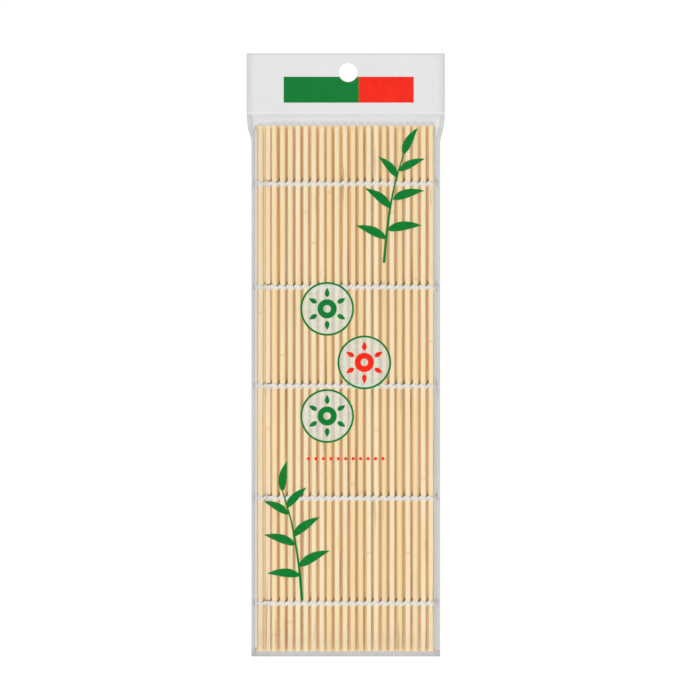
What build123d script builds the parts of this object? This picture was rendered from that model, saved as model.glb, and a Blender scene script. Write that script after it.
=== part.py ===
from build123d import *
import math
import os

# A bamboo rolling mat, folded in three in a clear hang bag. Millimetres.
# X runs across the slats, Y along them towards the bag's header, and Z up from the floor.

# Slats
slat_length = 240
slat_width = 2.45
slat_thick = 1.6
slat_bevel = 0.5
slat_gap = 1.13
base_slats = 23
middle_slats = 23
top_slats = 21

# Twine: two strands that cross in every gap, one over each slat and one under it
row_shares = (-0.4104, -0.21, 0.0038, 0.1925, 0.3896)
strand_width = 1.15
strand_thick = 0.45
strand_side_gap = 0.25
strand_lift = 0.05
ramp_angle = 52
strand_end_gap = 0.12
fold_twine_gap = 0.05
fold_twine_bulge = 0.75
fold_twine_steps = 5
knot_radius = 1.0
knot_squash = 0.85
knot_sides = 7
knot_steps = 5

# Spacing of the layers
floor_gap = 0.15
layer_gap = 0.18
mat_shift = -0.33
middle_shift = 0.5
base_shift = -0.55

# Bag
film = 0.2
ramp_film = 0.5
header_height = 27.5
header_flare = 2.25
pouch_side_margin = 2.13
mouth_margin = 3.2
seam_margin = 6.1
draw_in_length = 8
draw_in_share = 0.75
film_gap = 0.25
slat_end_gap = 0.4
shoulder_inset = 0.55
left_overhang = 0.4
right_overhang = 1.0
hang_hole_radius = 4.2
hang_hole_inset = 8.8
hang_hole_shift = 1.1

# Places that follow from the sizes
pitch = slat_width + slat_gap
strand_height = slat_thick / 2 + strand_lift + strand_thick / 2
strand_offset = (strand_width + strand_side_gap) / 2
ramp_slope = math.tan(math.radians(ramp_angle))
flat_half = pitch / 2 - strand_height / ramp_slope
cut_half = pitch / 2 - strand_end_gap
cut_height = strand_end_gap * ramp_slope
twine_reach = strand_height + strand_thick / 2
layer_step = 2 * twine_reach + layer_gap
base_z = film + floor_gap + twine_reach
middle_z = base_z + layer_step
top_z = middle_z + layer_step
roof_z = top_z + twine_reach + film_gap + film

pouch_width = middle_slats * pitch + 2 * pouch_side_margin
header_width = pouch_width + 2 * header_flare
bag_length = mouth_margin + slat_length + seam_margin + header_height
foot_y = -bag_length / 2
seam_y = bag_length / 2 - header_height
mat_y = foot_y + mouth_margin + slat_length / 2
slat_end_y = mat_y + slat_length / 2 + slat_end_gap
row_ys = [mat_y + share * slat_length for share in row_shares]

# The layers lie a little to one side of each other, so no gap goes straight through
top_right_x = mat_shift + (middle_slats - 1) * pitch / 2
top_left_x = top_right_x - (top_slats - 1) * pitch
middle_right_x = top_right_x + middle_shift
middle_left_x = middle_right_x - (middle_slats - 1) * pitch
base_left_x = middle_left_x - middle_shift + base_shift
base_right_x = base_left_x + (base_slats - 1) * pitch


def solid_through(rings):
    """A closed solid with flat faces that runs through rings of the same number of points."""
    faces = [Face(Wire.make_polygon(rings[0])), Face(Wire.make_polygon(rings[-1]))]
    for near, far in zip(rings, rings[1:]):
        for i in range(len(near)):
            a, b, c, d = near[i - 1], near[i], far[i], far[i - 1]
            faces += flat_faces(a, b, c, d)
    shell = Shell(faces)
    solid = Solid(shell)
    return solid if solid.volume > 0 else Solid(-shell)


def flat_faces(a, b, c, d):
    """One face through four corners where they lie in a plane, otherwise two.

    A wall's inside runs the other way round than its outside, and is split along the same corners.
    """
    across, up, other = (Vector(p) - Vector(a) for p in (b, c, d))
    normal = across.cross(up)
    side = max(across.length, up.length, other.length)
    if abs(normal.dot(other)) < 1e-6 * side**3:
        return [Face(Wire.make_polygon([a, b, c, d]))]
    if a[0] > b[0]:
        a, b, c, d = b, c, d, a
    return [Face(Wire.make_polygon([a, b, c])), Face(Wire.make_polygon([a, c, d]))]


def slat(x, z):
    outline = chamfer(Rectangle(slat_width, slat_thick).vertices(), slat_bevel)
    section = Plane.XZ * outline
    return Pos(x, mat_y + slat_length / 2, z) * extrude(section, slat_length)


def section_at(x, y, z):
    """A strand's three corners in a plane square to X, with its ridge on top."""
    wide, high = strand_width / 2, strand_thick / 2
    return [(x, y - wide, z - high), (x, y + wide, z - high), (x, y, z + high)]


def strand(first_x, count, row_y, mid_z, side):
    """One strand from slat to slat: over those where side is 1, and under the next."""
    rings = []
    for i in range(count):
        x = first_x + i * pitch
        out, rise = side * strand_offset, side * strand_height
        if i == 0:
            rings.append(section_at(x - cut_half, row_y + out, mid_z + side * cut_height))
        rings.append(section_at(x - flat_half, row_y + out, mid_z + rise))
        rings.append(section_at(x + flat_half, row_y - out, mid_z + rise))
        if i == count - 1:
            rings.append(section_at(x + cut_half, row_y - out, mid_z + side * cut_height))
        side = -side
    return solid_through(rings)


def twine(first_x, count, mid_z):
    return [strand(first_x, count, y, mid_z, side) for y in row_ys for side in (1, -1)]


def fold_strand(low_x, high_x, row_y, low_z, outward):
    """A strand that goes round the outside of a fold, from one layer's end slat to the next's."""
    centre_z = low_z + layer_step / 2
    reach_x = outward * (cut_half + fold_twine_gap)
    rings = []
    for i in range(fold_twine_steps + 1):
        turn = math.pi * i / fold_twine_steps
        run = Vector(outward * math.sin(turn), 0, math.cos(turn))
        middle_x = (high_x + low_x + (high_x - low_x) * run.Z) / 2
        x = middle_x + reach_x + fold_twine_bulge * run.X
        z = centre_z + layer_step / 2 * run.Z
        out_x, out_z = run.X * strand_thick / 2, run.Z * strand_thick / 2
        wide = strand_width / 2
        rings.append([
            (x - out_x, row_y - wide, z - out_z),
            (x - out_x, row_y + wide, z - out_z),
            (x + out_x, row_y, z + out_z),
        ])
    return solid_through(rings)


def fold_twine(low_x, high_x, low_z, outward):
    offsets = (strand_offset, -strand_offset)
    ys = [y + dy for y in row_ys for dy in offsets]
    return [fold_strand(low_x, high_x, y, low_z, outward) for y in ys]


def knot(x, y, z):
    """A tied end: a small round lump as wide as the two strands that it ends."""
    rings = []
    for i in range(knot_steps):
        turn = math.pi * (i + 0.5) / knot_steps
        along, radius = knot_radius * math.cos(turn), knot_radius * math.sin(turn)
        ring = []
        for j in range(knot_sides):
            side = 2 * math.pi * j / knot_sides
            ring.append((
                x + radius * math.cos(side),
                y + along,
                z + radius * math.sin(side) * knot_squash,
            ))
        rings.append(ring)
    return solid_through(rings)


def knots(slat_x, z, outward):
    x = slat_x + outward * (cut_half + knot_radius)
    return [knot(x, y, z) for y in row_ys]


def pouch_ring(y, half_width, rise_share, roof_film):
    """The front sheet's section at one place: its outside from left to right, and its inside."""
    panel_left = top_left_x - slat_width / 2
    panel_right = top_right_x + slat_width / 2
    shoulder_half = half_width - shoulder_inset
    raised = [
        (-shoulder_half, middle_z + twine_reach + film_gap),
        (panel_left - left_overhang, roof_z),
        (panel_right + right_overhang, roof_z),
        (shoulder_half, middle_z + twine_reach + film_gap),
    ]
    sealed_z = 2 * film
    raised = [(x, sealed_z + (z - sealed_z) * rise_share) for x, z in raised]
    inside = [(x - math.copysign(film, x), z - roof_film) for x, z in raised]
    outline = [(-half_width, film), *raised, (half_width, film)]
    outline += [(half_width - film, film), *reversed(inside), (film - half_width, film)]
    return [(x, y, z) for x, z in outline]


def front_sheet():
    pouch_half, header_half = pouch_width / 2, header_width / 2
    drawn_half = pouch_half + (header_half - pouch_half) * draw_in_share
    return solid_through([
        pouch_ring(foot_y, pouch_half, 1, film),
        pouch_ring(slat_end_y - draw_in_length, pouch_half, 1, film),
        pouch_ring(slat_end_y, drawn_half, 1, ramp_film),
        pouch_ring(seam_y, header_half, 0, film),
    ])


def back_sheet():
    pouch_half, header_half = pouch_width / 2, header_width / 2
    drawn_half = pouch_half + (header_half - pouch_half) * draw_in_share
    right_side = [
        (pouch_half, foot_y),
        (pouch_half, slat_end_y - draw_in_length),
        (drawn_half, slat_end_y),
        (header_half, seam_y),
    ]
    left_side = [(-x, y) for x, y in reversed(right_side)]
    return extrude(make_face(Polyline(*right_side, *left_side, close=True)), film)


def header():
    thick = 2 * film
    middle_y = seam_y + header_height / 2
    sheet = Pos(0, middle_y, thick / 2) * Box(header_width, header_height, thick)
    hole_y = bag_length / 2 - hang_hole_inset
    hole = Pos(hang_hole_shift, hole_y, thick / 2) * Cylinder(hang_hole_radius, 2 * thick)
    return sheet - hole


def save(name, solids):
    export_step(Compound(children=solids), os.path.join("parts", name + ".step"))


os.makedirs("parts", exist_ok=True)

save("base_slats", [slat(base_left_x + i * pitch, base_z) for i in range(base_slats)])
save("base_twine", twine(base_left_x, base_slats, base_z))
save("base_end_knots", knots(base_right_x, base_z, 1))
save("middle_slats", [slat(middle_left_x + i * pitch, middle_z) for i in range(middle_slats)])
save("middle_twine", twine(middle_left_x, middle_slats, middle_z))
save("left_fold_twine", fold_twine(base_left_x, middle_left_x, base_z, -1))
save("right_fold_twine", fold_twine(middle_right_x, top_right_x, middle_z, 1))

for i in range(top_slats):
    x = top_left_x + i * pitch
    save(f"slat_{i + 1:02d}", [slat(x, top_z)])
    save(f"twine_{i + 1:02d}", twine(x, 1, top_z))
save("top_end_knots", knots(top_left_x, top_z, -1))

save("bag_front_sheet", [front_sheet()])
save("bag_back_sheet", [back_sheet()])
save("bag_header", [header()])
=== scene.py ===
import math

import bpy
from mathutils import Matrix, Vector, noise


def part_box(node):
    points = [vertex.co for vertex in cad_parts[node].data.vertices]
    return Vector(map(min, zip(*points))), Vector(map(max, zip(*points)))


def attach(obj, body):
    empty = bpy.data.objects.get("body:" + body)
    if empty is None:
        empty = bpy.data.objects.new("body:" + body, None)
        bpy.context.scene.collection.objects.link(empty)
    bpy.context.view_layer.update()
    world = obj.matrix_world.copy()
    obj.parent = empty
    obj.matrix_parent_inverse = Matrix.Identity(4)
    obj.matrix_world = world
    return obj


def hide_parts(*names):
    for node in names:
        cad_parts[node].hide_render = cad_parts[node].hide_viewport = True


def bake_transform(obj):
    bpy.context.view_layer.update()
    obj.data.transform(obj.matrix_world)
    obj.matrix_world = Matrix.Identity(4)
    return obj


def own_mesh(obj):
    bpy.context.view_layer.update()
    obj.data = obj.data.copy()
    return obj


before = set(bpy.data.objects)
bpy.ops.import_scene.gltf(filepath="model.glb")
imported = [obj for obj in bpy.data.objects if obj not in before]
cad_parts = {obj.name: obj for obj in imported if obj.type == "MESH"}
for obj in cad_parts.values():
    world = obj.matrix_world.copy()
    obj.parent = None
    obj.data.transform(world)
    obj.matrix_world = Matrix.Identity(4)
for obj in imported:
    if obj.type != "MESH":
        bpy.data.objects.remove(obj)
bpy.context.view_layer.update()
mm = 0.001
print("frame loaded")


# Camera and light: straight down, long lens, soft and even

view = {
    "centreX": 1.95 * mm, "centreY": 2.18 * mm, "frameWidth": 320.1 * mm, "focusZ": 8.6 * mm,
    "lens": 250, "sensor": 36, "nearest": 50 * mm, "farthest": 20,
}
light = {
    "dome": 0.24,
    "key": {"place": (-0.02, -0.78, 2.86), "size": 0.25, "power": 58.5},
    "fill": {"place": (-0.9, 0.7, 1.1), "size": 0.9, "power": 4.0},
}


def setCamera():
    data = bpy.data.cameras.new("camera")
    data.lens, data.sensor_width = view["lens"], view["sensor"]
    data.clip_start, data.clip_end = view["nearest"], view["farthest"]
    distance = view["frameWidth"] * view["lens"] / view["sensor"]
    camera = bpy.data.objects.new("camera", data)
    camera.location = (view["centreX"], view["centreY"], view["focusZ"] + distance)
    bpy.context.collection.objects.link(camera)
    bpy.context.scene.camera = camera
    bpy.context.scene.view_settings.view_transform = "Standard"


def addSoftbox(name, settings):
    data = bpy.data.lights.new(name, "AREA")
    data.shape, data.size, data.energy = "SQUARE", settings["size"], settings["power"]
    lamp = bpy.data.objects.new(name, data)
    lamp.location = settings["place"]
    lamp.rotation_euler = (-Vector(settings["place"])).to_track_quat("-Z", "Y").to_euler()
    bpy.context.collection.objects.link(lamp)
    return lamp


def setLight():
    world = bpy.data.worlds.new("studio")
    bpy.context.scene.world = world
    world.use_nodes = True
    tree = world.node_tree
    tree.nodes.clear()
    white = (1, 1, 1, 1)
    dome = addNode(tree, "ShaderNodeBackground", {"Color": white, "Strength": light["dome"]})
    seen = addNode(tree, "ShaderNodeBackground", {"Color": white, "Strength": 1})
    path = addNode(tree, "ShaderNodeLightPath")
    mix = addNode(tree, "ShaderNodeMixShader", {
        0: path.outputs["Is Camera Ray"], 1: dome.outputs[0], 2: seen.outputs[0],
    })
    addNode(tree, "ShaderNodeOutputWorld", {"Surface": mix.outputs[0]})
    key = addSoftbox("keySoftbox", light["key"])
    key.visible_glossy = False
    addSoftbox("fillSoftbox", light["fill"])


# Helpers for nodes

def feed(tree, node, inputs):
    for key, value in inputs.items():
        if isinstance(value, bpy.types.NodeSocket):
            tree.links.new(value, node.inputs[key])
        else:
            node.inputs[key].default_value = value
    return node


def addNode(tree, kind, inputs=None, **settings):
    node = tree.nodes.new(kind)
    node.location = (190 * (len(tree.nodes) % 12), -230 * (len(tree.nodes) // 12))
    for key, value in settings.items():
        setattr(node, key, value)
    return feed(tree, node, inputs or {})


def calc(tree, operation, *values):
    return addNode(tree, "ShaderNodeMath", dict(enumerate(values)), operation=operation).outputs[0]


def plus(tree, first, second):
    return calc(tree, "ADD", first, second)


def minus(tree, first, second):
    return calc(tree, "SUBTRACT", first, second)


def times(tree, first, second):
    return calc(tree, "MULTIPLY", first, second)


def vectorOf(tree, x=0.0, y=0.0, z=0.0):
    return addNode(tree, "ShaderNodeCombineXYZ", {"X": x, "Y": y, "Z": z}).outputs[0]


def span(tree, value, low, high, start=0.0, end=1.0):
    return addNode(tree, "ShaderNodeMapRange", {
        "Value": value, "From Min": low, "From Max": high, "To Min": start, "To Max": end,
    }).outputs["Result"]


def eased(tree, value, low, high):
    return addNode(tree, "ShaderNodeMapRange", {
        "Value": value, "From Min": low, "From Max": high,
    }, interpolation_type="SMOOTHSTEP").outputs["Result"]


def mixColour(tree, factor, first, second):
    node = addNode(tree, "ShaderNodeMix", data_type="RGBA")
    return feed(tree, node, {0: factor, 6: first, 7: second}).outputs[2]


def objectPlace(tree):
    return addNode(tree, "ShaderNodeTexCoord").outputs["Object"]


def painted(tree, name):
    # A value that the mesh carries at each point
    return addNode(tree, "ShaderNodeAttribute", attribute_name=name).outputs["Fac"]


def stretchedNoise(tree, place, scale, detail=2.0, rough=0.5):
    scaled = addNode(tree, "ShaderNodeMapping", {"Vector": place, "Scale": scale}).outputs[0]
    return addNode(tree, "ShaderNodeTexNoise", {
        "Vector": scaled, "Scale": 1.0, "Detail": detail, "Roughness": rough,
    }).outputs["Fac"]


def addRelief(tree, shader, height, strength, depth):
    bump = addNode(tree, "ShaderNodeBump", {"Height": height, "Strength": strength, "Distance": depth})
    feed(tree, shader, {"Normal": bump.outputs[0]})


def colour(red, green, blue):
    def linear(value):
        value /= 255
        return value / 12.92 if value <= 0.04045 else ((value + 0.055) / 1.055) ** 2.4
    return (linear(red), linear(green), linear(blue), 1)


def newMaterial(name):
    material = bpy.data.materials.new(name)
    material.use_nodes = True
    tree = material.node_tree
    tree.nodes.clear()
    output = addNode(tree, "ShaderNodeOutputMaterial")
    shader = addNode(tree, "ShaderNodeBsdfPrincipled")
    tree.links.new(shader.outputs[0], output.inputs["Surface"])
    return material, tree, shader


# Materials

bamboo = {
    # Spans say between which values of a pattern its colour comes in
    "pale": colour(255, 240, 205), "warm": colour(252, 222, 166),
    # The colours on the next line are painted shade, for the up-facing sides of slats that lie under the top
    # panel
    "inner": colour(252, 208, 142), "shadedDeep": colour(232, 170, 100), "shadedSpan": (0.3, 0.9),
    "upSpan": (-0.3, 0.3), "blotchScale": (260, 14, 260), "blotchSpan": (0.45, 0.75), "blotchShare": 0.55,
    "streak": colour(214, 164, 98), "fibreScale": (3200, 60, 3200), "fibreSpan": (0.52, 0.78),
    "fibreShare": 0.42,
    "joint": colour(206, 150, 84), "jointSpacing": 117 * mm, "jointWidth": 1.1 * mm, "jointShare": 0.24,
    "jointScatter": 830 * mm,
    "stain": colour(150, 98, 50), "stainScale": (640, 20, 640), "stainSpan": (0.69, 0.78),
    # The last value on the next line paints more stain where the painted shade lies
    "stainShare": 0.6, "stainsInShade": 0.08,
    # The side colour on the next line is darker and warmer: partly the sawn sides' own colour, partly painted
    # shade in the gaps between slats
    "side": colour(250, 196, 122), "sideSpan": (0.45, 0.95), "sideShare": 0.8,
    "endGrain": colour(208, 174, 120), "endSpan": (0.7, 0.9), "dotScale": (5200, 5200, 5200),
    "dotSpan": (0.5, 0.65),
    "roughness": (0.42, 0.65), "reliefStrength": 0.35, "reliefDepth": 0.1 * mm,
}


def makeBamboo():
    material, tree, shader = newMaterial("bamboo")
    place = objectPlace(tree)
    tone = painted(tree, "slatTone")
    body = mixColour(tree, tone, bamboo["pale"], bamboo["warm"])
    # Painted shade: where the lower panels' slats lie under the top panel, their up-facing sides are painted
    # darker and warmer
    normal = addNode(tree, "ShaderNodeTexCoord").outputs["Normal"]
    facing = addNode(tree, "ShaderNodeSeparateXYZ", {0: normal})
    inside = times(tree, painted(tree, "coveredShade"), span(tree, facing.outputs["Z"], *bamboo["upSpan"]))
    shadedTone = mixColour(tree, span(tree, tone, *bamboo["shadedSpan"]), bamboo["inner"], bamboo["shadedDeep"])
    body = mixColour(tree, inside, body, shadedTone)
    blotch = stretchedNoise(tree, place, bamboo["blotchScale"], 3.0)
    blotch = span(tree, blotch, *bamboo["blotchSpan"], 0.0, bamboo["blotchShare"])
    body = mixColour(tree, blotch, body, bamboo["warm"])
    fibre = stretchedNoise(tree, place, bamboo["fibreScale"], 4.0, 0.65)
    streak = span(tree, fibre, *bamboo["fibreSpan"], 0.0, bamboo["fibreShare"])
    body = mixColour(tree, streak, body, bamboo["streak"])
    # Each cane has a darker ring where a joint was planed off, at its own height
    height = addNode(tree, "ShaderNodeSeparateXYZ", {0: place}).outputs["Y"]
    shifted = plus(tree, height, times(tree, tone, bamboo["jointScatter"]))
    wrapped = calc(tree, "PINGPONG", shifted, bamboo["jointSpacing"])
    joint = span(tree, wrapped, 0.0, bamboo["jointWidth"], bamboo["jointShare"], 0.0)
    body = mixColour(tree, joint, body, bamboo["joint"])
    # Stains run along the cane, and more of them are painted where the painted shade of the covered slats
    # lies
    stain = stretchedNoise(tree, place, bamboo["stainScale"], 1.0)
    stain = plus(tree, stain, times(tree, inside, bamboo["stainsInShade"]))
    stain = span(tree, stain, *bamboo["stainSpan"], 0.0, bamboo["stainShare"])
    body = mixColour(tree, stain, body, bamboo["stain"])
    # The sawn sides are darker and warmer than the planed face, partly as their own colour and partly as
    # painted shade in the gaps between slats, and cut ends show the dark dots of the fibres
    sawnAndShaded = calc(tree, "ABSOLUTE", facing.outputs["X"])
    sawnAndShaded = span(tree, sawnAndShaded, *bamboo["sideSpan"], 0.0, bamboo["sideShare"])
    body = mixColour(tree, sawnAndShaded, body, bamboo["side"])
    cut = span(tree, calc(tree, "ABSOLUTE", facing.outputs["Y"]), *bamboo["endSpan"])
    dots = stretchedNoise(tree, place, bamboo["dotScale"], 1.0)
    dots = span(tree, dots, *bamboo["dotSpan"])
    endColour = mixColour(tree, dots, bamboo["endGrain"], bamboo["streak"])
    feed(tree, shader, {
        "Base Color": mixColour(tree, cut, body, endColour),
        "Roughness": span(tree, fibre, 0.3, 0.8, *bamboo["roughness"]),
    })
    addRelief(tree, shader, fibre, bamboo["reliefStrength"], bamboo["reliefDepth"])
    return material


cotton = {
    # The shade colour on the next line is painted shade, for the grooves between the plies and among the fuzz
    "pale": colour(250, 248, 242), "shade": colour(218, 213, 206), "roughness": 0.9, "sheen": 0.3,
    "plyScale": 1900, "plySlant": math.radians(-28), "plyUnevenness": 1.2,
    "fuzzScale": (9000, 9000, 9000), "fuzzShare": 0.6, "grooveShadeSpan": (0.3, 1.1),
    "reliefStrength": 0.6, "reliefDepth": 0.12 * mm,
}


def makeCotton():
    material, tree, shader = newMaterial("cottonTwine")
    place = objectPlace(tree)
    turned = addNode(tree, "ShaderNodeMapping", {"Vector": place, "Rotation": (0, 0, cotton["plySlant"])})
    ply = addNode(tree, "ShaderNodeTexWave", {
        "Vector": turned.outputs[0], "Scale": cotton["plyScale"] / (2 * math.pi),
        "Distortion": cotton["plyUnevenness"], "Detail": 2.0, "Detail Scale": 2.0,
    }, bands_direction="X").outputs["Fac"]
    fuzz = stretchedNoise(tree, place, cotton["fuzzScale"], 3.0, 0.7)
    relief = plus(tree, ply, times(tree, fuzz, cotton["fuzzShare"]))
    # Darker where the relief is low: painted shade in the grooves between the plies
    feed(tree, shader, {
        "Base Color": mixColour(
            tree, span(tree, relief, *cotton["grooveShadeSpan"]), cotton["shade"], cotton["pale"],
        ),
        "Roughness": cotton["roughness"], "Sheen Weight": cotton["sheen"],
    })
    addRelief(tree, shader, relief, cotton["reliefStrength"], cotton["reliefDepth"])
    return material


film = {
    "tint": colour(150, 152, 156), "milky": colour(228, 227, 224), "milkyFrom": 0.54, "milkyTo": 0.66,
    # The first colour on the next line is a painted glow, light from the slats seen in the film near their
    # ends
    "paintedGlow": colour(230, 215, 175), "weld": colour(252, 252, 252), "lightBending": 1.49,
    "cloudScale": (30, 22, 30), "clouds": (0.93, 1.07),
    "scratchScale": (900, 120, 900), "roughness": (0.16, 0.26),
    "creaseScale": (55, 30, 55), "creaseStrength": 0.25, "creaseDepth": 2 * mm,
}


def makeFilm(name, tint, whitish=film["milky"]):
    material, tree, shader = newMaterial(name)
    place = objectPlace(tree)
    haze = painted(tree, "haze")
    cloud = stretchedNoise(tree, place, film["cloudScale"], 3.0)
    milky = mixColour(tree, span(tree, haze, film["milkyFrom"], film["milkyTo"]), tint, whitish)
    scratch = stretchedNoise(tree, place, film["scratchScale"])
    feed(tree, shader, {
        "Alpha": times(tree, haze, span(tree, cloud, 0.3, 0.7, *film["clouds"])),
        # Painted glow: close to the ends of the slats the film takes on a cream colour, as if lit by light
        # scattered from the slats
        "Base Color": mixColour(tree, painted(tree, "paintedGlow"), milky, film["paintedGlow"]),
        "Roughness": span(tree, scratch, 0.3, 0.7, *film["roughness"]), "IOR": film["lightBending"],
    })
    crease = stretchedNoise(tree, place, film["creaseScale"], 3.0)
    addRelief(tree, shader, crease, film["creaseStrength"], film["creaseDepth"])
    return material


inkLook = {
    "green": (colour(0, 128, 50), 0.985), "red": (colour(255, 40, 18), 0.985),  # colour and opacity
    "white": (colour(216, 226, 220), 0.66),
    "patchScale": (420, 420, 420), "patchSpan": (0.35, 0.7), "patchShade": 0.88,
    "roughness": 0.4, "shine": 0.06,
    "reliefStrength": 0.1, "reliefDepth": 0.2 * mm,
}


def makeInk(kind):
    tint, opacity = inkLook[kind]
    material, tree, shader = newMaterial(kind + "Ink")
    patch = stretchedNoise(tree, objectPlace(tree), inkLook["patchScale"], 3.0)
    deep = tuple(channel * inkLook["patchShade"] for channel in tint[:3]) + (1,)
    feed(tree, shader, {
        "Base Color": mixColour(tree, span(tree, patch, *inkLook["patchSpan"]), tint, deep),
        "Roughness": inkLook["roughness"], "Specular IOR Level": inkLook["shine"], "Alpha": opacity,
    })
    addRelief(tree, shader, patch, inkLook["reliefStrength"], inkLook["reliefDepth"])
    return material


ground = {
    "colour": (0.98, 0.98, 0.98, 1), "roughness": 0.9, "shine": 0.1, "seenGlow": 1.1, "seenShare": 0.7,
    "reach": 4, "height": -0.2 * mm,
}


def makeFloor():
    material, tree, shader = newMaterial("paleFloor")
    feed(tree, shader, {
        "Base Color": ground["colour"], "Roughness": ground["roughness"],
        "Specular IOR Level": ground["shine"],
    })
    lit = addNode(tree, "ShaderNodeEmission", {"Color": (1, 1, 1, 1), "Strength": ground["seenGlow"]})
    path = addNode(tree, "ShaderNodeLightPath")
    share = times(tree, path.outputs["Is Camera Ray"], ground["seenShare"])
    mix = addNode(tree, "ShaderNodeMixShader", {0: share, 1: shader.outputs[0], 2: lit.outputs[0]})
    output = next(node for node in tree.nodes if node.type == "OUTPUT_MATERIAL")
    feed(tree, output, {"Surface": mix.outputs[0]})
    return material


# Helpers for pieces

rimTurn = 1.1  # radians between two faces that meet in a sharp rim


def addMesh(name, points, faces, material, rounded=True):
    mesh = bpy.data.meshes.new(name)
    mesh.from_pydata([tuple(p) for p in points], [], faces)
    if material:
        mesh.materials.append(material)
    mesh.polygons.foreach_set("use_smooth", [rounded] * len(mesh.polygons))
    mesh.update()
    piece = bpy.data.objects.new(name, mesh)
    bpy.context.collection.objects.link(piece)
    return piece


def addFloor():
    reach, height = ground["reach"], ground["height"]
    corners = [(x * reach, y * reach, height) for x, y in ((-1, -1), (1, -1), (1, 1), (-1, 1))]
    floor = addMesh("floor", corners, [(0, 1, 2, 3)], makeFloor(), False)


def gridFaces(columns, rows):
    return [
        (r * columns + c, r * columns + c + 1, (r + 1) * columns + c + 1, (r + 1) * columns + c)
        for r in range(rows - 1) for c in range(columns - 1)
    ]


def spread(low, high, count):
    return [low + (high - low) * i / (count - 1) for i in range(count)]


def smooth(value, low, high):
    share = min(max((value - low) / (high - low), 0.0), 1.0)
    return share * share * (3 - 2 * share)


def newTree(name, inputs):
    tree = bpy.data.node_groups.new(name, "GeometryNodeTree")
    tree.interface.new_socket("Geometry", in_out="INPUT", socket_type="NodeSocketGeometry")
    for kind, labels in inputs.items():
        for label in labels:
            tree.interface.new_socket(label, in_out="INPUT", socket_type="NodeSocket" + kind)
    tree.interface.new_socket("Geometry", in_out="OUTPUT", socket_type="NodeSocketGeometry")
    return tree, addNode(tree, "NodeGroupInput").outputs


def storeValue(tree, geometry, name, value):
    return addNode(tree, "GeometryNodeStoreNamedAttribute", {
        "Geometry": geometry, "Name": name, "Value": value,
    }, data_type="FLOAT", domain="POINT").outputs[0]


def readValue(tree, name):
    return addNode(tree, "GeometryNodeInputNamedAttribute", {"Name": name}, data_type="FLOAT").outputs[0]


def steppedLine(tree, start, end, count):
    line = addNode(tree, "GeometryNodeCurvePrimitiveLine", {"Start": start, "End": end})
    return addNode(tree, "GeometryNodeResampleCurve", {
        "Curve": line.outputs[0], "Count": count,
    }, mode="COUNT").outputs[0]


def copiesAt(tree, points, curve):
    placed = addNode(tree, "GeometryNodeInstanceOnPoints", {"Points": points, "Instance": curve})
    return addNode(tree, "GeometryNodeRealizeInstances", {"Geometry": placed.outputs[0]}).outputs[0]


def moved(tree, geometry, offset):
    return addNode(tree, "GeometryNodeSetPosition", {"Geometry": geometry, "Offset": offset}).outputs[0]


def levelled(tree, curve, normal):
    return addNode(tree, "GeometryNodeSetCurveNormal", {
        "Curve": curve, "Normal": normal,
    }, mode="FREE").outputs[0]


def endTree(tree, curve, profile, material):
    solid = addNode(tree, "GeometryNodeCurveToMesh", {
        "Curve": curve, "Profile Curve": profile, "Fill Caps": True,
    })
    real = addNode(tree, "GeometryNodeRealizeInstances", {"Geometry": solid.outputs[0]})
    shaded = addNode(tree, "GeometryNodeSetShadeSmooth", {"Geometry": real.outputs[0]})
    # Cut ends keep their sharp rim
    turn = addNode(tree, "GeometryNodeInputMeshEdgeAngle").outputs["Unsigned Angle"]
    rimmed = addNode(tree, "GeometryNodeSetShadeSmooth", {
        "Geometry": shaded.outputs[0], "Selection": calc(tree, "GREATER_THAN", turn, rimTurn),
        "Shade Smooth": False,
    }, domain="EDGE")
    finished = addNode(tree, "GeometryNodeSetMaterial", {"Geometry": rimmed.outputs[0], "Material": material})
    addNode(tree, "NodeGroupOutput", {0: finished.outputs[0]})


def endStrandTree(tree, curve, given, sides):
    circle = addNode(tree, "GeometryNodeCurvePrimitiveCircle", {
        "Resolution": sides, "Radius": 0.5,
    }, mode="RADIUS")
    oval = addNode(tree, "GeometryNodeTransform", {
        "Geometry": circle.outputs[0],
        "Scale": vectorOf(tree, given["Strand Width"], given["Strand Thickness"], 1.0),
    })
    endTree(tree, curve, oval.outputs[0], given["Material"])


def grow(piece, tree, values):
    # Sets the tree's inputs, and turns the result into a plain mesh
    modifier = piece.modifiers.new("grow", "NODES")
    modifier.node_group = tree
    for item in tree.interface.items_tree:
        if item.in_out == "INPUT" and item.name in values:
            modifier[item.identifier] = values[item.name]
    evaluated = piece.evaluated_get(bpy.context.evaluated_depsgraph_get())
    mesh = bpy.data.meshes.new_from_object(evaluated)
    mesh.name = piece.name
    piece.modifiers.clear()
    if piece.type == "MESH":
        piece.data = mesh
        return piece
    grown = bpy.data.objects.new(piece.name, mesh)
    bpy.data.objects.remove(piece)
    grown.name = mesh.name
    bpy.context.collection.objects.link(grown)
    return grown


def edges(node):
    low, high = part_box(node)
    return low, high, (low + high) / 2


def finishPiece(piece, body, slotName, *nodes):
    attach(piece, body)
    if nodes:
        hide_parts(*nodes)
    return piece


# Slats: planed canes with eased edges, each a little off in tone, width and line

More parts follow.
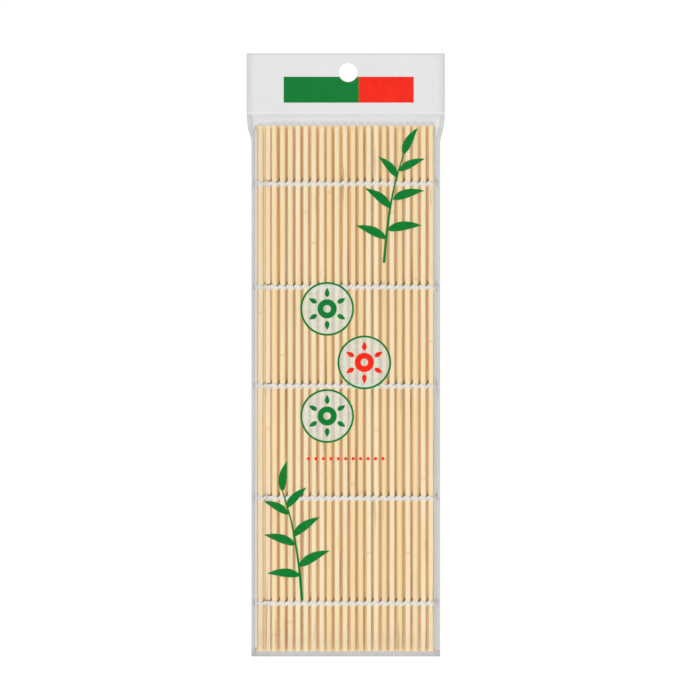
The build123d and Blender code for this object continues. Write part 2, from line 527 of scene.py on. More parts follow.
slats = {
    "length": 240 * mm, "footSpare": 0.4 * mm, "width": 2.45 * mm, "thickness": 1.6 * mm,
    "edgeRadius": 0.55 * mm, "edgeSteps": 3, "steps": 25, "topCount": 21, "topSeed": 100, "topSeedStep": 7,
    "widthSpread": 0.035, "ownWidth": 2.4, "bow": 0.2 * mm, "bowUp": 0.35, "lean": 0.16 * mm,
    "waveLength": 130 * mm, "waveDetail": 0.4,
    "waveDraw": 97.0, "leanDraw": 53.0, "widthDraw": 37.0,  # each gives one more random value from the tone
}
layers = {
    # In each row below, the number after the seed is the strength of its painted shade, and the next says how
    # many first slats lie in the open without it
    "base": {"seed": 11, "coveredShade": 0.3, "unshadedSlats": 0, "shift": -0.1 * mm},
    "middle": {"seed": 43, "coveredShade": 0.85, "unshadedSlats": 2, "shift": 0.1 * mm},
}

firstSlat, lastSlat = edges("slat_01")[2], edges("slat_21")[2]
pitch = (lastSlat.x - firstSlat.x) / (slats["topCount"] - 1)
footY = edges("slat_01")[0].y


def makeSlatTree():
    tree, given = newTree("slatRow", {
        "Int": ("Slats", "Steps", "Seed", "Unshaded Slats"),
        "Float": (
            "Pitch", "First X", "Foot Y", "Middle Z", "Length", "Width", "Thickness", "Edge Radius",
            "Width Spread", "Bow", "Lean", "Wave Length", "Covered Shade",
        ),
        "Material": ("Material",),
    })
    row = addNode(tree, "GeometryNodeMeshLine", {
        "Count": given["Slats"], "Offset": vectorOf(tree, given["Pitch"]),
        "Start Location": vectorOf(tree, given["First X"], given["Foot Y"], given["Middle Z"]),
    }, mode="OFFSET")
    chance = addNode(tree, "FunctionNodeRandomValue", {"Seed": given["Seed"]}, data_type="FLOAT")
    toned = storeValue(tree, row.outputs[0], "slatTone", chance.outputs[1])
    # The first slats of the middle row lie in the open and get no painted shade; the slats under the top
    # panel get it
    order = plus(tree, addNode(tree, "GeometryNodeInputIndex").outputs[0], 0.5)
    covered = calc(tree, "GREATER_THAN", order, given["Unshaded Slats"])
    toned = storeValue(tree, toned, "coveredShade", times(tree, covered, given["Covered Shade"]))
    line = steppedLine(tree, (0, 0, 0), vectorOf(tree, 0.0, given["Length"]), given["Steps"])
    canes = copiesAt(tree, toned, line)

    tone = readValue(tree, "slatTone")
    position = addNode(tree, "GeometryNodeInputPosition").outputs[0]
    height = addNode(tree, "ShaderNodeSeparateXYZ", {0: position}).outputs["Y"]
    along = calc(tree, "DIVIDE", height, given["Wave Length"])

    def wander(offset):  # each offset gives another wave
        where = vectorOf(tree, times(tree, tone, slats["waveDraw"]), along, offset)
        wave = addNode(tree, "ShaderNodeTexNoise", {
            "Vector": where, "Scale": 1.0, "Detail": slats["waveDetail"],
        })
        return times(tree, minus(tree, wave.outputs["Fac"], 0.5), 2.0)

    def draw(multiple):
        return minus(tree, calc(tree, "FRACT", times(tree, tone, multiple)), 0.5)

    lean = times(tree, draw(slats["leanDraw"]), given["Lean"])
    sideways = plus(tree, times(tree, wander(0.0), given["Bow"]), lean)
    upwards = times(tree, wander(7.0), times(tree, given["Bow"], slats["bowUp"]))
    bent = levelled(tree, moved(tree, canes, vectorOf(tree, sideways, 0.0, upwards)), (1, 0, 0))
    spare = plus(tree, wander(13.0), times(tree, draw(slats["widthDraw"]), slats["ownWidth"]))
    width = plus(tree, 1.0, times(tree, spare, given["Width Spread"]))
    sized = addNode(tree, "GeometryNodeSetCurveRadius", {"Curve": bent, "Radius": width})
    outline = addNode(tree, "GeometryNodeCurvePrimitiveQuadrilateral", {
        "Width": given["Width"], "Height": given["Thickness"],
    })
    rounded = addNode(tree, "GeometryNodeFilletCurve", {
        "Curve": outline.outputs[0], "Count": slats["edgeSteps"], "Radius": given["Edge Radius"],
        "Limit Radius": True,
    }, mode="POLY")
    endTree(tree, sized.outputs[0], rounded.outputs[0], given["Material"])
    return tree


def makeSlats(name, tree, count, firstX, middleZ, seed, coveredShade, unshadedSlats, material):
    holder = addMesh(name, [(0, 0, 0)], [], None)
    return grow(holder, tree, {
        "Slats": count, "Pitch": pitch, "First X": firstX, "Middle Z": middleZ,
        "Foot Y": footY - slats["footSpare"], "Length": slats["length"] + slats["footSpare"],
        "Width": slats["width"], "Thickness": slats["thickness"], "Edge Radius": slats["edgeRadius"],
        "Width Spread": slats["widthSpread"], "Bow": slats["bow"], "Lean": slats["lean"],
        "Wave Length": slats["waveLength"], "Steps": slats["steps"], "Seed": seed, "Covered Shade": coveredShade,
        "Unshaded Slats": unshadedSlats, "Material": material,
    })


# Twine: two strands a row that cross in each gap

twine = {
    "rowShares": (-0.4104, -0.21, 0.0038, 0.1925, 0.3896), "width": 1.85 * mm, "thickness": 0.52 * mm,
    "height": 1.06 * mm, "sideStep": 0.42 * mm, "steepness": 1.9, "stepsPerSlat": 15, "sides": 10,
    "slatGap": 0.05 * mm, "foldGap": 0.24 * mm,
    "foldBulge": 0.7 * mm, "foldFullness": 0.8, "foldSteps": 10, "foldSides": 8,
    "climb": (0.0, 0.2), "slant": (0.22, 0.86), "dive": (0.8, 1.0),  # shares of the pitch
}
rowYs = [firstSlat.y + share * slats["length"] for share in twine["rowShares"]]


def makeTwineTree():
    tree, given = newTree("twineRow", {
        "Int": ("Spans", "Steps"),
        "Float": (
            "Pitch", "Height", "Side Step", "Steepness", "Strand Width", "Strand Thickness",
            "Start Gap", "End Gap",
        ),
        "Material": ("Material",),
    })
    run = minus(tree, times(tree, given["Spans"], given["Pitch"]), given["End Gap"])
    count = plus(tree, times(tree, given["Spans"], given["Steps"]), 1.0)
    line = steppedLine(tree, vectorOf(tree, given["Start Gap"]), vectorOf(tree, run), count)
    length = plus(tree, addNode(tree, "GeometryNodeSplineParameter").outputs["Length"], given["Start Gap"])
    strands = copiesAt(tree, given["Geometry"], storeValue(tree, line, "along", length))

    side, along = readValue(tree, "side"), readValue(tree, "along")
    turn = calc(tree, "DIVIDE", plus(tree, along, 0.001 * mm), given["Pitch"])
    wave = calc(tree, "SINE", times(tree, turn, math.pi))
    lift = calc(tree, "TANH", times(tree, wave, given["Steepness"]))
    lift = calc(tree, "DIVIDE", lift, calc(tree, "TANH", given["Steepness"]))
    lift = times(tree, lift, side)
    # Over a slat the strand slants down; under it, it runs straight and comes up through the gap
    share = calc(tree, "FRACT", turn)
    slant = times(tree, eased(tree, share, *twine["slant"]), 2.0)
    over = minus(tree, eased(tree, share, *twine["climb"]), slant)
    under = minus(tree, eased(tree, share, *twine["dive"]), 1.0)
    isOver = calc(tree, "GREATER_THAN", lift, 0.0)
    swing = addNode(tree, "ShaderNodeMix", {0: isOver, 2: under, 3: over}, data_type="FLOAT").outputs[0]
    offset = vectorOf(tree, 0.0, times(tree, swing, given["Side Step"]), times(tree, lift, given["Height"]))
    woven = levelled(tree, moved(tree, strands, offset), (0, 1, 0))
    endStrandTree(tree, woven, given, twine["sides"])
    return tree


def makeTwine(name, tree, spans, startX, middleZ, firstSide, gaps, material):
    points = [(startX, y, middleZ) for y in rowYs for _ in (0, 1)]
    holder = addMesh(name, points, [], None)
    sides = holder.data.attributes.new("side", "FLOAT", "POINT")
    sides.data.foreach_set("value", [firstSide, -firstSide] * len(rowYs))
    return grow(holder, tree, {
        "Spans": spans, "Pitch": pitch, "Height": twine["height"], "Side Step": twine["sideStep"],
        "Steepness": twine["steepness"], "Strand Width": twine["width"],
        "Strand Thickness": twine["thickness"], "Steps": twine["stepsPerSlat"],
        "Start Gap": gaps[0], "End Gap": gaps[1], "Material": material,
    })


def makeStrandTree(name, level):
    tree, given = newTree(name, {
        "Int": ("Sides",), "Float": ("Strand Width", "Strand Thickness"), "Material": ("Material",),
    })
    curve = levelled(tree, given["Geometry"], (0, 1, 0)) if level else given["Geometry"]
    endStrandTree(tree, curve, given, given["Sides"])
    return tree


def makeStrands(name, tree, paths, width, thickness, sides, material):
    data = bpy.data.curves.new(name, "CURVE")
    data.dimensions = "3D"
    for path in paths:
        spline = data.splines.new("POLY")
        spline.points.add(len(path) - 1)
        for point, place in zip(spline.points, path):
            point.co = (*place, 1)
    holder = bpy.data.objects.new(name, data)
    bpy.context.collection.objects.link(holder)
    return grow(holder, tree, {
        "Strand Width": width, "Strand Thickness": thickness, "Sides": sides, "Material": material,
    })


def foldPaths(lowX, highX, lowZ, highZ, outward):
    paths = []
    for rowY in rowYs:
        for aside in (-twine["sideStep"], twine["sideStep"]):
            path = []
            for i in range(twine["foldSteps"] + 1):
                share = i / twine["foldSteps"]
                bulge = twine["foldBulge"] * math.sin(math.pi * share) ** twine["foldFullness"]
                x = lowX + (highX - lowX) * share + outward * bulge
                z = lowZ + (highZ - lowZ) * (0.5 - 0.5 * math.cos(math.pi * share))
                path.append((x, rowY + aside, z))
            paths.append(path)
    return paths


# Knots: the strands tied off at the free ends, with short loose tails

knot = {
    "size": 1.2 * mm, "breadth": 0.27, "height": 0.36, "strand": 0.72 * mm, "steps": 40, "sides": 8,
    "outset": 0.8 * mm, "tail": 0.42 * mm, "tailSteps": 8, "tailSides": 7, "tailSway": 0.35 * mm,
    "swayTurn": 1.3 * math.pi,
    "tails": (  # for each row, how far each tail reaches outwards, along the slats and up, in mm
        ((1.6, -2.6, -0.7), (2.4, 1.0, -0.8)), ((2.2, -1.6, -0.8), (1.2, 2.2, -0.6)),
        ((1.7, -5.0, -1.1), (1.2, -2.4, -0.8)), ((2.4, 1.2, -0.8), (1.0, -2.0, -0.7)),
        ((1.8, -2.2, -0.8), (2.0, 1.6, -0.8)),
    ),
}


def tiePath(x, y, z):
    path = []
    for i in range(knot["steps"]):
        t = 2 * math.pi * i / knot["steps"]
        path.append((
            x + knot["size"] * knot["breadth"] * (math.sin(t) + 2 * math.sin(2 * t)),
            y + knot["size"] * knot["breadth"] * (math.cos(t) - 2 * math.cos(2 * t)),
            z - knot["size"] * knot["height"] * math.sin(3 * t),
        ))
    return path + [path[0]]


def tailPath(x, y, z, outward, reachX, reachY, riseZ):
    path = []
    for share in spread(0, 1, knot["tailSteps"] + 1):
        sway = math.sin(share * knot["swayTurn"]) * knot["tailSway"]
        path.append((
            x + outward * reachX * mm * share, y + reachY * mm * share + sway, z + riseZ * mm * share ** 0.5,
        ))
    return path


def makeKnots(name, tree, x, z, outward, body, node, material):
    ties = [tiePath(x, y, z) for y in rowYs]
    tails = [tailPath(x, y, z, outward, *tail) for y, row in zip(rowYs, knot["tails"]) for tail in row]
    lumps = makeStrands(name, tree, ties, knot["strand"], knot["strand"], knot["sides"], material)
    ends = makeStrands(name + "Tails", tree, tails, knot["tail"], knot["tail"], knot["tailSides"], material)
    finishPiece(lumps, body, "twine", node)
    finishPiece(ends, body, "twine")


# Bag film: one long sleeve, soft at its edges, drawn in to the header

bag = {
    "halfWidth": 43.3 * mm, "drawnHalf": 44.99 * mm, "headerHalf": 45.55 * mm,
    "footY": -138.4 * mm, "drawY": 97.2 * mm, "slatEndY": 105.2 * mm, "seamY": 110.9 * mm, "topY": 138.4 * mm,
    "holeX": 1.1 * mm, "holeY": 129.6 * mm, "holeRadius": 4.2 * mm, "flareLead": 2 * mm, "closeLead": 1 * mm,
    "backZ": 0.12 * mm, "edgeZ": 0.3 * mm, "hemY": -135.7 * mm, "mouth": 3.4 * mm, "mouthShare": 0.45,
    "section": (  # share of the half width, and height in mm
        (-1.0, 0.3), (-0.9925, 1.1), (-0.984, 3.4), (-0.966, 5.4), (-0.935, 6.15), (-0.87, 6.4),
        (-0.825, 7.2), (-0.79, 8.55), (-0.76, 8.74), (0.91, 8.74), (0.94, 8.5), (0.965, 6.9),
        (0.98, 4.6), (0.9925, 1.4), (1.0, 0.3),
    ),
    # Scale across, scale along, and a place in the noise
    "ripple": (55, 26, 3.1), "fineRipple": (140, 60, 9.4), "puckerRipple": (210, 18, 1.7),
    "backRipple": (50, 30, 5.5),
    "wrinkle": 0.11 * mm, "fineShare": 0.5, "stillShare": 0.06, "backWave": (0.3, 0.6),
    "puckers": 0.25 * mm, "puckerSpan": (-12 * mm, 2 * mm),
    # From, to and number: shares of the half width, and rows in mm
    "frontShares": ((-1.0, -0.77, 28), (-0.76, 0.91, 90), (0.916, 1.0, 18)), "wallShare": -0.95,
    "frontRows": ((-138.4, -132.4, 13), (-130.4, 92, 108), (93.5, 110.9, 32)),
    "backShares": ((-1.0, 1.0, 61),),
    "backRows": ((-138.4, -134.7, 12), (-132.7, 92, 88), (94, 110.9, 14)),
    "flatZ": 0.2 * mm, "flatShare": 0.012,
}


def step(value, base, reach):
    # From 0 to 1 as the value goes from base + reach[0] to base + reach[1]
    return smooth(value, base + reach[0], base + reach[1])


def rippleAt(x, y, ripple):
    across, along, place = ripple
    return noise.noise(Vector((x * across, y * along, place)))


def halfWidthAt(y):
    half, drawn, flared = bag["halfWidth"], bag["drawnHalf"], bag["headerHalf"]
    first = half + (drawn - half) * smooth(y, bag["drawY"], bag["slatEndY"])
    return first + (flared - drawn) * smooth(y, bag["slatEndY"] - bag["flareLead"], bag["seamY"])


def sectionHeight(share):
    section = bag["section"]
    for (a, low), (b, high) in zip(section, section[1:]):
        if share <= b:
            return (low + (high - low) * smooth(share, a, b)) * mm
    return section[-1][1] * mm


def filmTop(x, y):
    share = x / halfWidthAt(y)
    height = sectionHeight(max(-1.0, min(1.0, share)))
    closing = 1 - smooth(y, bag["slatEndY"] - bag["closeLead"], bag["seamY"])
    mouth = bag["mouthShare"] + (1 - bag["mouthShare"]) * step(y, bag["footY"], (0, bag["mouth"]))
    height = bag["edgeZ"] + (height - bag["edgeZ"]) * closing * mouth
    inner = smooth(1 - abs(share), 0.0, bag["stillShare"])
    ripple = rippleAt(x, y, bag["ripple"]) + bag["fineShare"] * rippleAt(x, y, bag["fineRipple"])
    height += bag["wrinkle"] * ripple * inner * closing
    # Gathers where the sleeve is drawn in to the flat header
    low, high = bag["puckerSpan"]
    nearSeam = smooth(y, bag["drawY"] + low, bag["slatEndY"] + high) * closing
    height += bag["puckers"] * nearSeam * rippleAt(x, y, bag["puckerRipple"]) * inner
    return max(height, bag["edgeZ"] * 0.9)


# Opacity of the film, and how much painted glow of light from the slats it takes on near their ends

paintedGlow = {
    "left": (-41.2 * mm, -40.0 * mm), "right": (39.7 * mm, 40.6 * mm),
    "footInside": 1.7 * mm, "footOutside": 1.1 * mm,
    "endInside": 1.6 * mm, "endOutside": 0.8 * mm, "endOffset": 0.5 * mm,
}
veil = {
    "all": 0.045, "overStrip": 0.1, "stripSpan": (-1.5 * mm, 0.8 * mm), "stripShare": 0.79,
    # low greys the film over the last slats by the foot: partly the film's haze near its mouth, partly
    # painted shade in place of the front film's shadow, which is switched off
    "low": 0.12, "lowSpan": (2 * mm, 14 * mm), "footCut": 0.6, "foot": 0.1, "footSpan": (0.2 * mm, 2.4 * mm),
    "walls": 0.33, "leftWall": (-7.8 * mm, -4.3 * mm), "rightWall": (0.925, 0.965),
    # The last value on the next line is opacity added where the painted glow lies
    "end": 0.12, "endSpan": (-2.5 * mm, 0.5 * mm), "seam": 0.1, "seamInset": 1 * mm, "paintedGlow": 0.2,
    # Whitish folds over the mat's two long edges: opacity, place and width
    "folds": ((0.52, -41.1 * mm, 0.75 * mm), (0.64, 40.5 * mm, 0.45 * mm)),
    "hem": 0.08, "hemWidth": 0.35 * mm, "lip": 0.1, "lipSpan": (0.5 * mm, 1.3 * mm),
    "rim": 0.06, "rimSpan": (0.985, 1.0),
    "back": 0.3, "backFoot": 0.24, "backFootSpan": (-0.4 * mm, 0.8 * mm),
    "backEnd": 0.1, "backEndSpan": (-2 * mm, 1 * mm),
}


def bell(distance, width):
    return math.exp(-(distance / width) ** 2)


def paintedGlowAt(x, y):
    inside = smooth(x, *paintedGlow["left"]) * (1 - smooth(x, *paintedGlow["right"]))
    foot = y - bag["hemY"]
    end = bag["slatEndY"] - y - paintedGlow["endOffset"]
    foot = bell(foot, paintedGlow["footInside" if foot > 0 else "footOutside"])
    end = bell(end, paintedGlow["endInside" if end > 0 else "endOutside"])
    return inside * max(foot, end)


def hazeAt(x, y):
    half = halfWidthAt(y)
    left = -veil["stripShare"] * half
    if x > 0:
        wall = smooth(x, *(share * half for share in veil["rightWall"]))
    else:
        wall = 1 - step(x, left, veil["leftWall"])
    end = step(y, bag["slatEndY"], veil["endSpan"])
    foot = 1 - step(y, bag["hemY"], veil["footSpan"])
    top = veil["all"] + veil["overStrip"] * (1 - step(x, left, veil["stripSpan"]))
    # Grey veil towards the foot: partly haze, partly painted shade
    low = veil["low"] * (1 - step(y, bag["hemY"], veil["lowSpan"]))
    inset = veil["seamInset"]
    ramp = veil["end"] + veil["seam"] * smooth(y, bag["slatEndY"] + inset, bag["seamY"] - inset)
    top += low * (1 - foot * veil["footCut"])
    haze = max(top, veil["walls"] * wall, veil["foot"] * foot, ramp * end)
    # More opacity where the painted glow lies, so that it shows
    haze += veil["paintedGlow"] * paintedGlowAt(x, y)
    fold = sum(opacity * bell(x - place, width) for opacity, place, width in veil["folds"])
    haze += fold * (1 - end) * (1 - foot)
    haze += veil["hem"] * bell(y - bag["hemY"], veil["hemWidth"])
    haze += veil["lip"] * (1 - step(y, bag["footY"], veil["lipSpan"]))
    haze += veil["rim"] * smooth(abs(x) / half, *veil["rimSpan"])
    return min(haze, 1.0)


def backHazeAt(x, y):
    foot = 1 - step(y, bag["hemY"], veil["backFootSpan"])
    end = step(y, bag["slatEndY"], veil["backEndSpan"])
    return veil["back"] + veil["backFoot"] * foot - veil["backEnd"] * end


def addValues(piece, rule, name="haze"):
    layer = piece.data.attributes.new(name, "FLOAT", "POINT")
    layer.data.foreach_set("value", [rule(*vertex.co[:2]) for vertex in piece.data.vertices])


def addSheet(name, shares, rows, heightAt, material):
    points = []
    for y in rows:
        for share in shares:
            x = share * halfWidthAt(y)
            points.append((x, y, heightAt(x, y)))
    return addMesh(name, points, gridFaces(len(shares), len(rows)), material)


def spreadAll(spans, unit=1):
    return [value * unit for low, high, count in spans for value in spread(low, high, count)]


def makeFrontFilm(material):
    shares = spreadAll(bag["frontShares"])
    rows = spreadAll(bag["frontRows"], mm)
    cut = next(i for i, share in enumerate(shares) if share > bag["wallShare"])
    pieces = []
    for name, part in (("filmLeftWall", shares[:cut + 1]), ("filmFront", shares[cut:])):
        piece = addSheet(name, part, rows, filmTop, material)
        addValues(piece, hazeAt)
        addValues(piece, paintedGlowAt, "paintedGlow")
        pieces.append(piece)
    return pieces


def backHeight(x, y):
    low, wave = bag["backWave"]
    ripple = 0.5 + 0.5 * rippleAt(x, y, bag["backRipple"])
    turnUp = smooth(abs(x) / halfWidthAt(y), *veil["rimSpan"]) * (bag["edgeZ"] - bag["backZ"])
    return bag["backZ"] * (low + wave * ripple) + turnUp


def makeBackFilm(material):
    shares, rows = spreadAll(bag["backShares"]), spreadAll(bag["backRows"], mm)
    piece = addSheet("filmBack", shares, rows, backHeight, material)
    addValues(piece, backHazeAt)
    return piece


header = {
    "frontShift": 0.08 * mm, "backShift": -0.14 * mm, "height": 0.3 * mm, "wave": 0.1 * mm,
    "ripple": (34, 40, 2.2), "flatLength": 8 * mm, "spokes": 120, "rings": 16, "ringPower": 1.3,
    "haze": 0.155, "rimHaze": 0.09, "rimSpan": (0.1 * mm, 1.1 * mm),
}


def headerHeight(x, y):
    wave = rippleAt(x, y, header["ripple"])
    return header["height"] + header["wave"] * wave * step(y, bag["seamY"], (0, header["flatLength"]))


def headerHazeAt(x, y):
    rim = min(bag["headerHalf"] - abs(x), bag["topY"] - y)
    return header["haze"] + header["rimHaze"] * (1 - smooth(rim, *header["rimSpan"]))


def reachTo(low, high, start, slope):
    # How far a spoke runs before it meets the sheet's edge on one axis
    if abs(slope) <= 1e-9:
        return 1e9
    return ((high if slope > 0 else low) - start) / slope


def makeHeader(name, shift, material):
    # Rings from the hang hole out to the header's edge
    halfWidth, low, high = bag["headerHalf"], bag["seamY"], bag["topY"]
    holeX, holeY, radius, spokes = bag["holeX"], bag["holeY"], bag["holeRadius"], header["spokes"]
    corners = [math.atan2(y - holeY, x - holeX) for x in (-halfWidth, halfWidth) for y in (low, high)]
    angles = sorted(set(2 * math.pi * i / spokes - math.pi for i in range(spokes)) | set(corners))
    points = []
    for i in range(header["rings"] + 1):
        share = (i / header["rings"]) ** header["ringPower"]
        for angle in angles:
            dx, dy = math.cos(angle), math.sin(angle)
            full = min(reachTo(-halfWidth, halfWidth, holeX, dx), reachTo(low, high, holeY, dy))
            reach = radius + (full - radius) * share
            x, y = holeX + dx * reach, holeY + dy * reach
            points.append((x, y, headerHeight(x, y) + shift))
    count = len(angles)
    faces = [
        (r * count + c, (r + 1) * count + c, (r + 1) * count + (c + 1) % count, r * count + (c + 1) % count)
        for r in range(header["rings"]) for c in range(count)
    ]
    piece = addMesh(name, points, faces, material)
    addValues(piece, headerHazeAt)
    return piece


weld = {
    "columns": 121, "rows": 7, "below": 0.5 * mm, "above": 0.9 * mm, "share": 0.999, "haze": 0.5,
    "height": 0.42 * mm, "rise": 0.09 * mm, "crimp": 0.03 * mm, "crimpLength": 0.45 * mm,
}


def makeSeam(material):
    shares = spread(-1.0, 1.0, weld["columns"])
    rows = spread(bag["seamY"] - weld["below"], bag["seamY"] + weld["above"], weld["rows"])
    centre = rows[weld["rows"] // 2]
    points = []
    for y in rows:
        for share in shares:
            x = share * bag["headerHalf"] * weld["share"]
            crimp = weld["crimp"] * math.sin(x / weld["crimpLength"])
            middle = 1 - abs((y - centre) / (centre - rows[0]))
            points.append((x, y, weld["height"] + (weld["rise"] + crimp) * middle))
    piece = addMesh("seamWeld", points, gridFaces(len(shares), len(rows)), material)
    addValues(piece, lambda x, y: weld["haze"])
    return piece


# Print: plain leaf sprays, roll roundels and a two-colour band; lengths of the shapes in mm

prints = {
    "lift": 0.035 * mm, "fillingLift": 0.065 * mm, "cell": 0.8,
    "sprays": ((17.5, 66, 1), (-20, -88, -1)),  # place, and the side to which it leans
    "stem": ((0, -24), (1.5, -8), (4.5, 10), (9, 26)), "stemWidth": 1.3, "stemSteps": 8, "stemTaper": 0.6,
    "leaves": (  # share of the stem, angle from it, length and width
        (0.22, -62, 15, 4.0), (0.3, 58, 16, 4.2), (0.5, -48, 15, 4.0), (0.58, 50, 15, 4.0),
        (0.78, -38, 13, 3.6), (0.84, 40, 13, 3.6), (0.99, 4, 14, 3.8),
    ),
    "leafBend": 0.25, "leafTurn": 10, "leafSteps": 16, "leafPoint": 0.02, "leafShape": (0.75, 0.9),
    "stemCurve": 1.5,
    "roundels": ((-8.5, 21.0, "green"), (8.5, -3.5, "red"), (-8.5, -28.0, "green")),
    "roundelRadius": 12.3, "rimWidth": 0.9, "riceHole": 0.3, "ringSteps": 72,
    "filling": (4.4, 1.7, 40), "petals": 6, "petalPlace": 5.4, "petal": (4.2, 2.2), "petalSteps": 8,
    "dots": 11, "dotStart": (-17, -47.5), "dotStep": 3.4, "dot": (0.75, 0.05, 16),
    "band": (-28.5, 31.2, 115.7, 127.6), "bandSplit": 6.0, "bandCell": 0.35, "bandRows": 14,
    "bandLift": 0.155 * mm, "holeClear": 0.25,
}


def loftPrint(name, strips, material, heightAt, lift=prints["lift"], cells=None):
    points, faces = [], []
    for first, second in strips:
        width = max((Vector(a) - Vector(b)).length for a, b in zip(first, second))
        across = cells or max(2, int(width / prints["cell"]) + 1)
        start = len(points)
        for a, b in zip(first, second):
            for j in range(across + 1):
                x = (a[0] + (b[0] - a[0]) * j / across) * mm
                y = (a[1] + (b[1] - a[1]) * j / across) * mm
                points.append((x, y, heightAt(x, y) + lift))
        faces += [tuple(start + i for i in face) for face in gridFaces(across + 1, len(first))]
    piece = addMesh(name, points, faces, material)
    up = sum(polygon.normal.z for polygon in piece.data.polygons)
    if up < 0:
        piece.data.flip_normals()
    return piece


def leaf(x, y, angle, length, width, bend=0.0, steps=prints["leafSteps"]):
    # A blade from its stalk to its point; the angle is in degrees from the header's direction
    belly, fullness = prints["leafShape"]
    first, second = [], []
    for i in range(steps + 1):
        share = i / steps
        turn = math.radians(angle) + bend * share
        midX = x + length * share * math.sin(turn)
        midY = y + length * share * math.cos(turn)
        half = prints["leafPoint"]
        if 0 < share < 1:
            half = width / 2 * math.sin(math.pi * share ** belly) ** fullness
        sideX, sideY = math.cos(turn), -math.sin(turn)
        first.append((midX - half * sideX, midY - half * sideY))
        second.append((midX + half * sideX, midY + half * sideY))
    return first, second


def stem(points):
    # A smooth stroke through a few points, thinner towards its end
    path = []
    for i in range(len(points) - 1):
        a, b = Vector(points[max(i - 1, 0)]), Vector(points[i])
        c, d = Vector(points[i + 1]), Vector(points[min(i + 2, len(points) - 1)])
        square, cube = 2 * a - 5 * b + 4 * c - d, 3 * b - a - 3 * c + d
        for j in range(prints["stemSteps"]):
            t = j / prints["stemSteps"]
            path.append(0.5 * ((2 * b) + (c - a) * t + square * t * t + cube * t ** 3))
    path.append(Vector(points[-1]))
    first, second = [], []
    for i, place in enumerate(path):
        ahead = (path[min(i + 1, len(path) - 1)] - path[max(i - 1, 0)]).normalized()
        half = prints["stemWidth"] / 2 * (1 - prints["stemTaper"] * i / len(path))
        first.append((place.x - half * ahead.y, place.y + half * ahead.x))
        second.append((place.x + half * ahead.y, place.y - half * ahead.x))
    return first, second


def ring(x, y, outer, inner, steps=prints["ringSteps"]):
    turns = [2 * math.pi * i / steps for i in range(steps + 1)]
    first = [(x + outer * math.cos(turn), y + outer * math.sin(turn)) for turn in turns]
    second = [(x + inner * math.cos(turn), y + inner * math.sin(turn)) for turn in turns]
    return first, second


def spray(x, y, side):
    # A reed with paired leaves; side 1 leans to the right
    strips = [stem([(x + side * dx, y + dy) for dx, dy in prints["stem"]])]
    foot, (topX, top) = prints["stem"][0][1], prints["stem"][-1]
    for share, angle, length, width in prints["leaves"]:
        stalkX = x + side * topX * share ** prints["stemCurve"]
        stalkY = y + foot + (top - foot) * share
        bend = -prints["leafBend"] if angle < 0 else prints["leafBend"]
        strips.append(leaf(stalkX, stalkY, angle + side * prints["leafTurn"], length, width, bend))
    return strips


def filling(x, y):
    strips = [ring(x, y, *prints["filling"])]
    for k in range(prints["petals"]):
        angle = 2 * math.pi / prints["petals"] * k
        petalX = x + prints["petalPlace"] * math.sin(angle)
        petalY = y + prints["petalPlace"] * math.cos(angle)
        strips.append(leaf(petalX, petalY, math.degrees(angle), *prints["petal"], 0.0, prints["petalSteps"]))
    return strips


def makePrints(inks):
    leaves = [strip for place in prints["sprays"] for strip in spray(*place)]
    pieces = [loftPrint("printLeaves", leaves, inks["green"], filmTop)]
    outer = prints["roundelRadius"]
    inner = outer - prints["rimWidth"]
    rims = [ring(x, y, outer, inner) for x, y, _ in prints["roundels"]]
    pieces.append(loftPrint("printRims", rims, inks["green"], filmTop))
    rice = [ring(x, y, inner, prints["riceHole"]) for x, y, _ in prints["roundels"]]
    pieces.append(loftPrint("printRice", rice, inks["white"], filmTop))
    for shade in ("green", "red"):
        strips = [strip for x, y, kind in prints["roundels"] if kind == shade for strip in filling(x, y)]
        pieces.append(loftPrint("printFilling_" + shade, strips, inks[shade], filmTop, prints["fillingLift"]))
    startX, dotY = prints["dotStart"]
    dots = [ring(startX + prints["dotStep"] * i, dotY, *prints["dot"]) for i in range(prints["dots"])]
    pieces.append(loftPrint("printDots", dots, inks["red"], filmTop))
    return pieces


def makeBand(inks):
    left, right, low, high = prints["band"]
    split, rows, lift = prints["bandSplit"], prints["bandRows"], prints["bandLift"]
    holeX, holeY = bag["holeX"] / mm, bag["holeY"] / mm
    clear = bag["holeRadius"] / mm + prints["holeClear"]
    pieces = []
    for name, start, end, shade in (("bandGreen", left, split, "green"), ("bandRed", split, right, "red")):
        first, second = [], []
        for x in spread(start, end, int((end - start) / prints["bandCell"])):
            gap = abs(x - holeX)
            top = min(high, holeY - math.sqrt(clear * clear - gap * gap)) if gap < clear else high
            first.append((x, low))
            second.append((x, top))
        pieces.append(loftPrint(name, [(first, second)], inks[shade], headerHeight, lift, rows))
    return pieces


# Build everything

setCamera()
setLight()
addFloor()

bambooFinish, cottonFinish = makeBamboo(), makeCotton()
filmFinish = makeFilm("clearFilm", film["tint"])
headerFinish = makeFilm("headerFilm", film["tint"])
weldFinish = makeFilm("weldedFilm", film["weld"], film["weld"])
inks = {kind: makeInk(kind) for kind in ("green", "red", "white")}
print("materials made")

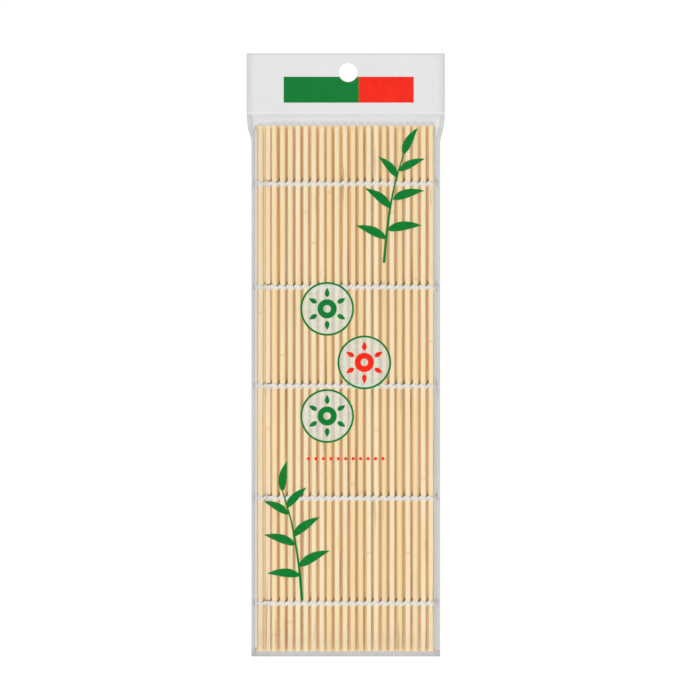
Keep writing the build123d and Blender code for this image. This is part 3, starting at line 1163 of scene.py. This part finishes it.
slatTree, twineTree = makeSlatTree(), makeTwineTree()
foldTree, knotTree = makeStrandTree("foldStrands", True), makeStrandTree("knotStrands", False)
halfPitch = pitch / 2
layerEnds = {}
for layer, look in layers.items():
    low, high, middle = edges(layer + "_slats")
    startX = low.x + slats["width"] / 2
    endX = high.x - slats["width"] / 2
    layerEnds[layer] = (startX - halfPitch, endX + halfPitch, middle.z)
    count = round((high.x - low.x - slats["width"]) / pitch) + 1
    row = makeSlats(
        layer + "Slats", slatTree, count, startX + look["shift"], middle.z,
        look["seed"], look["coveredShade"], look["unshadedSlats"], bambooFinish,
    )
    finishPiece(row, layer + "_panel", "bamboo", layer + "_slats")
    gaps = (twine["foldGap"], twine["foldGap"])
    rows = makeTwine(
        layer + "Twine", twineTree, count, startX - halfPitch, middle.z, 1.0, gaps, cottonFinish,
    )
    finishPiece(rows, layer + "_panel", "twine", layer + "_twine")
print("lower layers made")

for k in range(1, slats["topCount"] + 1):
    middle = edges(f"slat_{k:02d}")[2]
    body = f"top_slat_{k:02d}"
    seed = slats["topSeed"] + slats["topSeedStep"] * k
    cane = makeSlats(f"topSlat_{k:02d}", slatTree, 1, middle.x, middle.z, seed, 0.0, 0, bambooFinish)
    finishPiece(cane, body, "bamboo", f"slat_{k:02d}")
    gaps = (twine["slatGap"], twine["foldGap"] if k == slats["topCount"] else twine["slatGap"])
    strand = makeTwine(
        f"topTwine_{k:02d}", twineTree, 1, middle.x - halfPitch, middle.z, 1.0 if k % 2 else -1.0, gaps,
        cottonFinish,
    )
    finishPiece(strand, body, "twine", f"twine_{k:02d}")
print("top layer made")

baseLeft, baseRight, baseZ = layerEnds["base"]
middleLeft, middleRight, middleZ = layerEnds["middle"]
topLeft, topRight, topZ = firstSlat.x - halfPitch, lastSlat.x + halfPitch, lastSlat.z
leftPaths = foldPaths(baseLeft, middleLeft, baseZ, middleZ, -1)
rightPaths = foldPaths(middleRight, topRight, middleZ, topZ, 1)
strandSize = (twine["width"], twine["thickness"], twine["foldSides"])
for name, paths, a, b, low, high, node in (
    ("leftFoldTwine", leftPaths, "base_panel", "middle_panel", baseZ, middleZ, "left_fold_twine"),
    ("rightFoldTwine", rightPaths, "middle_panel", "top_slat_21", middleZ, topZ, "right_fold_twine"),
):
    piece = makeStrands(name, foldTree, paths, *strandSize, cottonFinish)
    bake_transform(piece)
    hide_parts(node)

for name, x, z, outward, body, node in (
    ("topKnots", topLeft - knot["outset"], firstSlat.z, -1, "top_slat_01", "top_end_knots"),
    ("baseKnots", baseRight + knot["outset"], baseZ, 1, "base_panel", "base_end_knots"),
):
    makeKnots(name, knotTree, x, z, outward, body, node, cottonFinish)
print("folds and knots made")

leftWall, front = makeFrontFilm(filmFinish)
back = makeBackFilm(filmFinish)
headerFront = makeHeader("headerFront", header["frontShift"], headerFinish)
headerBack = makeHeader("headerBack", header["backShift"], headerFinish)
seam = makeSeam(weldFinish)
finishPiece(back, "bag", "film", "bag_back_sheet")
finishPiece(headerFront, "bag", "film", "bag_header")
finishPiece(headerBack, "bag", "film")
finishPiece(seam, "bag", "film")
finishPiece(front, "bag", "film", "bag_front_sheet")
finishPiece(leftWall, "bag", "film")
front.visible_shadow = False  # thin clear film hardly dims what lies under it
printed = makePrints(inks)
for piece in printed + makeBand(inks):
    finishPiece(piece, "bag", "film")
    piece.visible_shadow = False
for piece in [front] + printed:
    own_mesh(piece)
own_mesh(leftWall)
print("bag made")

print("all made")
